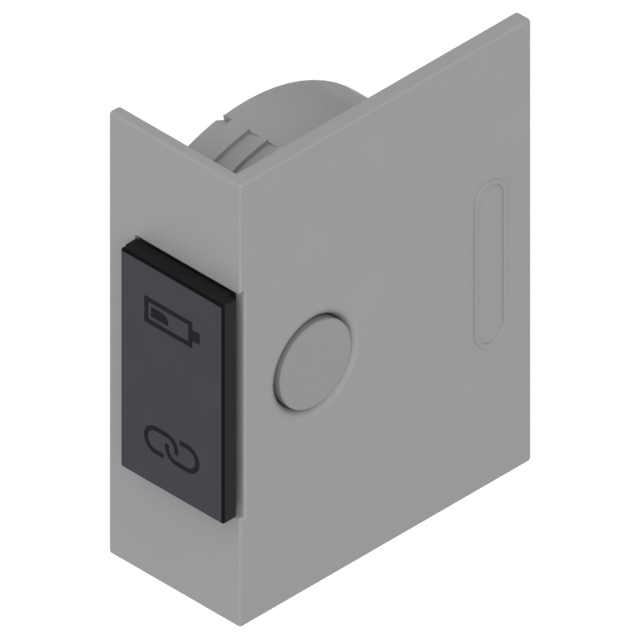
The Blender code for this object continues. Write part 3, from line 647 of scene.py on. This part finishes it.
def make_component_ends():
    """Tinned ends of the chip components, their gilt pads, and the solder fillets between them."""
    plating = 0.02 * MM
    pad_margin = 0.06 * MM
    pad_inward = 0.2 * MM
    pad_corner = 0.08 * MM
    cover_share = 0.22
    fillet_foot = BOARD_TOP + PAD_HEIGHT * 0.9
    fillet_inward = 0.05 * MM
    fillet_share = 0.6
    fillet_curve = ((0.0, 1.0), (0.12, 0.62), (0.35, 0.3), (0.65, 0.12), (1.0, 0.02))
    ends = Pile("X")
    pads = Pile("X")
    solder = Pile("X")
    for node in TWO_ENDED:
        _, _, foot, top = footprint(node)
        for start, end, long_axis, sign in end_blocks(node, cover_share, plating):
            ends.slab(rectangle(start, end), BOARD_TOP + PAD_HEIGHT, top + plating)
            face = end[long_axis] if sign > 0 else start[long_axis]
            pad_low = [part - pad_margin for part in start]
            pad_high = [part + pad_margin for part in end]
            pad_low[long_axis], pad_high[long_axis] = span(face, sign, pad_inward, PAD_REACH + pad_margin)
            pads.slab(rectangle(pad_low, pad_high, pad_corner), BOARD_TOP - SINK, BOARD_TOP + PAD_HEIGHT)
            outlines = []
            places = []
            for rise, reach in fillet_curve:
                low = list(start)
                high = list(end)
                low[long_axis], high[long_axis] = span(face, sign, fillet_inward, PAD_REACH * reach)
                outlines.append(rectangle(low, high))
                places.append(fillet_foot + (top - foot) * fillet_share * rise)
            solder.loft(outlines, places)
    ends.finish("component_ends", TIN, "tray", "spring_steel", edge=0.03 * MM)
    pads.finish("component_pads", GOLD, "tray", "contact_gold")
    solder.finish("solder_fillets", TIN, "tray", "spring_steel", edge=0.02 * MM)


def make_radio_pins():
    """Solder pins along the radio chip's four sides, and a printed ring at its first pin."""
    low, high, foot, top = footprint("radio_chip")
    centre = middle("radio_chip")
    count = 8
    pitch = 0.45 * MM
    pin_half = 0.11 * MM
    inward = 0.03 * MM
    reach = 0.28 * MM
    pin_curve = ((0.0, 1.0), (0.09, 0.7), (0.3, 0.05))
    pins = Pile("X")
    for k in range(count):
        place = (k - (count - 1) / 2) * pitch
        for axis in (0, 1):
            for side, sign in ((low[axis], -1), (high[axis], 1)):
                outlines = []
                places = []
                for rise, out in pin_curve:
                    start = [centre[0] + place - pin_half, centre[1] + place - pin_half]
                    end = [centre[0] + place + pin_half, centre[1] + place + pin_half]
                    start[axis], end[axis] = span(side, sign, inward, reach * out)
                    outlines.append(rectangle(start, end))
                    places.append(BOARD_TOP + (top - foot) * rise)
                pins.loft(outlines, places)
    pins.finish("radio_pins", TIN, "tray", "spring_steel")
    mark_inset = 0.6 * MM
    mark_radius = 0.24 * MM
    mark_hole = 0.16 * MM
    place = (low[0] + mark_inset, high[1] - mark_inset)
    mark = Pile("X")
    mark.ring(place, mark_radius, mark_hole, top - SINK, top + PRINT_THICKNESS, 24)
    mark.finish("radio_first_pin_mark", BOARD_INK, "tray", "lamp_white")


def make_crystal_lid():
    """The seam-welded lid on the crystal's can."""
    low, high, _, top = footprint("crystal")
    inset = 0.22 * MM
    corner = 0.25 * MM
    outline = rectangle((low[0] + inset, low[1] + inset), (high[0] - inset, high[1] - inset), corner)
    weld = 0.02 * MM
    thickness = 0.05 * MM
    lid = Pile("X")
    lid.slab(outline, top - weld, top + thickness)
    lid.finish("crystal_lid", SPRING_STEEL, "tray", "spring_steel", edge=0.02 * MM)


def make_lamp_windows():
    """The phosphor windows in the two lamps."""
    side_inset = 0.2 * MM
    end_inset = 0.42 * MM
    corner = 0.12 * MM
    half_thick = 0.02 * MM
    windows = Pile("X")
    for node in ("led_battery", "led_link"):
        low, high, _, top = footprint(node)
        start = (low[0] + side_inset, low[1] + end_inset)
        end = (high[0] - side_inset, high[1] - end_inset)
        windows.slab(rectangle(start, end, corner), top - half_thick, top + half_thick)
    windows.finish("lamp_windows", LAMP_YELLOW, "tray", "lamp_white")


def radio_routes():
    """Tracks from the radio chip: down to plated holes, to the crystal and to the switch."""
    low = footprint("radio_chip")[0]
    gap = 0.2 * MM
    pitch = 0.45 * MM
    jog = 0.6 * MM
    jog_z = 1.2 * MM
    hole_z = -2.6 * MM
    routes = []
    for k in range(6):
        y = low[0] + 0.4 * MM + pitch * k
        end_z = hole_z - pitch * (k % 2)
        routes.append((THIN, [(y, low[1] - gap), (y, jog_z), (y + jog, jog_z - jog), (y + jog, end_z)]))
    crystal_end = footprint("crystal")[1][0]
    for k in range(4):
        z = middle("crystal")[1] + (k - 1.5) * 0.5 * MM
        routes.append((THIN, [(crystal_end, z), (low[0] - gap, z)]))
    switch_end = footprint("switch_body")[1][0]
    for k in range(2):
        z = (1.3 + 0.6 * k) * MM
        end_z = low[1] + 0.5 * MM + pitch * k
        bend = end_z - z
        turn = low[0] - 0.5 * MM - bend
        routes.append((THIN, [(switch_end, z), (turn, z), (turn + bend, end_z), (low[0] - gap, end_z)]))
    return routes


def antenna_route():
    """The wide feed from the radio chip to the antenna."""
    step = 0.6 * MM
    start_y = footprint("radio_chip")[1][0] + 0.2 * MM
    bend_y = start_y + 0.8 * MM
    end_y = footprint("chip_antenna")[0][0]
    z = middle("chip_antenna")[1] - 0.4 * MM
    return WIDE, [(start_y, z + step), (bend_y, z + step), (bend_y + step, z), (end_y, z)]


def lamp_routes():
    """Tracks from each lamp along the board's edges."""
    start_z = 7.2 * MM
    rail_z = 7.75 * MM
    corner = 0.4 * MM
    battery_end = footprint("radio_chip")[0][0] + 1.1 * MM
    link_end = middle("resistor_1")[0]
    routes = []
    for sign, node, end_y in ((1, "led_battery", battery_end), (-1, "led_link", link_end)):
        start_y = middle(node)[0]
        path = [(start_y, start_z), (start_y + rail_z - start_z, rail_z),
                (end_y - corner, rail_z), (end_y, rail_z - corner)]
        routes.append((THIN, [(y, sign * z) for y, z in path]))
    return routes


def filter_routes():
    """Tracks between each resistor and its capacitor, and on from the capacitor."""
    routes = []
    for number in (1, 2, 3):
        low, high, _, _ = footprint(f"capacitor_{number}")
        resistor_end = footprint(f"resistor_{number}")[1][1]
        y = middle(f"capacitor_{number}")[0]
        routes.append((MEDIUM, [(y, resistor_end), (y, low[1])]))
        routes.append((MEDIUM, [(y, high[1]), (y, high[1] + 0.9 * MM)]))
    return routes


def supply_routes():
    """Wide tracks from the buffer capacitor to the inductor and to a free end."""
    low, high, _, _ = footprint("buffer_capacitor")
    z = middle("buffer_capacitor")[1]
    coil_start = footprint("inductor")[0][0]
    coil_z = middle("inductor")[1]
    bend_y = coil_start - 0.9 * MM
    to_coil = [(high[0], z), (bend_y, z), (bend_y + abs(coil_z - z), coil_z), (coil_start, coil_z)]
    step = 0.8 * MM
    turn_y = low[0] - 1.1 * MM
    to_end = [(low[0], z), (turn_y, z), (turn_y - step, z + step), (turn_y - step, z + 1.9 * MM)]
    return [(WIDE, to_coil), (WIDE, to_end)]


def make_tracks():
    """Tracks under the solder mask, and a gilt ring at each track's end just below the board's middle."""
    hole_zone = 4 * MM
    ring_radius = 0.24 * MM
    hole_radius = 0.1 * MM
    tracks = Pile("X")
    rings = Pile("X")
    routes = radio_routes() + [antenna_route()] + lamp_routes() + filter_routes() + supply_routes()
    for width, points in routes:
        tracks.slab(ribbon(points, width), BOARD_TOP - SINK, BOARD_TOP + TRACK_HEIGHT)
        end = points[-1]
        if -hole_zone < end[1] < 0:
            rings.ring(end, ring_radius, hole_radius, BOARD_TOP - SINK, BOARD_TOP + PAD_HEIGHT, 18)
    tracks.finish("board_tracks", TRACK_GREEN, "tray", "board_laminate")
    rings.finish("plated_holes", GOLD, "tray", "contact_gold")


def make_board_print():
    """White outlines printed round the larger components."""
    line = 0.1 * MM
    gap = 0.38 * MM
    corner = 0.25 * MM
    ink = Pile("X")
    for node in ("radio_chip", "crystal", "chip_antenna", "buffer_capacitor", "inductor"):
        low, high, _, _ = footprint(node)
        outlines = []
        for extra in (line, 0.0):
            reach = gap + extra
            start = (low[0] - reach, low[1] - reach)
            end = (high[0] + reach, high[1] + reach)
            outlines.append(rectangle(start, end, corner + extra))
        ink.frame(*outlines, BOARD_TOP - SINK, BOARD_TOP + PRINT_HEIGHT)
    ink.finish("board_print", BOARD_INK, "tray", "lamp_white")


# ---------------------------------------------------------------- cell, leaf spring and moulding marks

def make_cell_relief():
    """The stamped rings and plus sign on the cell's wide side."""
    low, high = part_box("coin_cell")
    centre = ((low.y + high.y) / 2, (low.z + high.z) / 2)
    radius = (high.z - low.z) / 2
    raised = low.x - 0.03 * MM
    sunk = low.x + 0.05 * MM
    pile = Pile("X")
    for outer, inner in ((0.86, 0.83), (0.4, 0.385)):
        pile.ring(centre, radius * outer, radius * inner, raised, sunk, 72)
    arm = 0.9 * MM
    bar = 0.22 * MM
    y = centre[0]
    z = centre[1] + radius * 0.62
    plus = []
    for across, up in ((1, 0), (0, 1), (-1, 0), (0, -1)):
        for out, side in ((arm, -bar), (arm, bar), (bar, bar)):
            plus.append((y + across * out - up * side, z + up * out + across * side))
    pile.slab(plus, raised, sunk)
    pile.finish("cell_relief", CELL_STEEL, "tray", "cell_steel", edge=0.02 * MM)


def make_leaf_rib():
    """The pressed stiffening rib along the latch's leaf spring."""
    low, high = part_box("latch_spring")
    hook_height = 0.42 * MM
    face = high.x - hook_height
    half = 0.28 * MM
    start = low.y + 3.2 * MM
    end = high.y - 2.0 * MM
    profile = ((-0.1 * MM, 1.0), (0.0, 1.0), (0.06 * MM, 0.75), (0.085 * MM, 0.4))
    outlines = []
    places = []
    for rise, share in profile:
        width = half * share
        inset = half - width
        nearly_round = width * 0.98
        outlines.append(rectangle((start + inset, -width), (end - inset, width), nearly_round, 6))
        places.append(face + rise)
    rib = Pile("X")
    rib.loft(outlines, places)
    rib.finish("leaf_rib", SPRING_STEEL, "tray", "spring_steel", edge=0.02 * MM)


def make_ejector_marks():
    """Faint round marks of the mould's ejector pins on the side panel's inner face."""
    low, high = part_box("housing")
    plug_depth = 11.0 * MM
    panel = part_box("rear_cover")[0].x + plug_depth
    front_inset = 5.5 * MM
    back_inset = 2.4 * MM
    end_inset = 2.6 * MM
    outer = 1.0 * MM
    inner = 0.88 * MM
    proud = 0.03 * MM
    sunk = 0.05 * MM
    pile = Pile("X")
    for y in (low.y + front_inset, high.y - back_inset):
        for z in (low.z + end_inset, high.z - end_inset):
            pile.ring((y, z), outer, inner, panel - proud, panel + sunk, 32)
    pile.finish("ejector_marks", HOUSING_GREY, "housing", "housing_nylon")


make_cap_face()
make_battery_symbol()
make_link_symbol()
make_component_ends()
make_radio_pins()
make_crystal_lid()
make_lamp_windows()
make_tracks()
make_board_print()
make_cell_relief()
make_leaf_rib()
make_ejector_marks()


# ---------------------------------------------------------------- floor, light and camera

FLOOR_HALF = 1500 * MM
FLOOR_GAP = 0.02 * MM
BACK = Vector((1, -1, 1)).normalized()
RIGHT = Vector((1, 1, 0)).normalized()
UP = BACK.cross(RIGHT)
# The picture's width, and its centre as seen from the side panel's near lower corner.
PICTURE_WIDTH = 51.43 * MM
CENTRE_RIGHT = 6.414 * MM
CENTRE_UP = 24.79 * MM
CAMERA_DISTANCE = 300 * MM
# The side panel's plain ridge, which stands beyond its outer face.
RIDGE_HEIGHT = 0.12 * MM


def make_floor():
    """A white sheet under the object that shines evenly and doesn't light the object itself."""
    low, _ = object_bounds()
    bm = bmesh.new()
    bmesh.ops.create_grid(bm, x_segments=1, y_segments=1, size=FLOOR_HALF)
    bmesh.ops.translate(bm, vec=(0, 0, low.z - FLOOR_GAP), verts=bm.verts)
    mesh = bpy.data.meshes.new("floor")
    bm.to_mesh(mesh)
    bm.free()
    floor = bpy.data.objects.new("floor", mesh)
    bpy.context.scene.collection.objects.link(floor)
    sheet = Finish("floor_white", roughness=0.9, specular=0.0)
    sheet.shader.inputs["Base Color"].default_value = (0.02, 0.02, 0.02, 1)
    sheet.shader.inputs["Emission Color"].default_value = (1, 1, 1, 1)
    sheet.shader.inputs["Emission Strength"].default_value = 1.0
    mesh.materials.append(sheet.material)
    floor.visible_diffuse = False


def make_sun(name, toward, strength, spread_deg):
    """A soft light that shines from a direction."""
    light = bpy.data.lights.new(name, "SUN")
    light.energy = strength
    light.angle = math.radians(spread_deg)
    lamp = bpy.data.objects.new(name, light)
    lamp.rotation_euler = Vector(toward).to_track_quat("Z", "Y").to_euler()
    bpy.context.scene.collection.objects.link(lamp)


def make_camera():
    """An isometric view of the front, the side panel and the top, without perspective."""
    low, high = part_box("housing")
    near_corner = Vector((high.x - RIDGE_HEIGHT, low.y, low.z))
    target = near_corner + RIGHT * CENTRE_RIGHT + UP * CENTRE_UP
    data = bpy.data.cameras.new("camera")
    data.type = "ORTHO"
    data.ortho_scale = PICTURE_WIDTH
    data.clip_start = 1 * MM
    data.clip_end = 10
    camera = bpy.data.objects.new("camera", data)
    camera.location = target + BACK * CAMERA_DISTANCE
    camera.rotation_mode = "QUATERNION"
    camera.rotation_quaternion = BACK.to_track_quat("Z", "Y")
    bpy.context.scene.collection.objects.link(camera)
    bpy.context.scene.camera = camera


def make_world(strength):
    """Even light from all round, seen by the camera as a white backdrop."""
    world = bpy.data.worlds.new("studio")
    world.use_nodes = True
    nodes = world.node_tree.nodes
    links = world.node_tree.links
    light = nodes["Background"]
    light.inputs["Color"].default_value = (1, 1, 1, 1)
    light.inputs["Strength"].default_value = strength
    backdrop = nodes.new("ShaderNodeBackground")
    backdrop.inputs["Color"].default_value = (1, 1, 1, 1)
    backdrop.inputs["Strength"].default_value = 1.0
    rays = nodes.new("ShaderNodeLightPath")
    mix = nodes.new("ShaderNodeMixShader")
    links.new(rays.outputs["Is Camera Ray"], mix.inputs[0])
    links.new(light.outputs[0], mix.inputs[1])
    links.new(backdrop.outputs[0], mix.inputs[2])
    links.new(mix.outputs[0], nodes["World Output"].inputs["Surface"])
    bpy.context.scene.world = world
    bpy.context.scene.view_settings.view_transform = "Standard"


make_floor()
make_world(strength=0.4)
make_sun("head_light", toward=(0.56, -0.6, 0.7), strength=1.04 * math.pi, spread_deg=100)
make_sun("back_light", toward=(-1, 0, -0.15), strength=0.2 * math.pi, spread_deg=40)
make_camera()
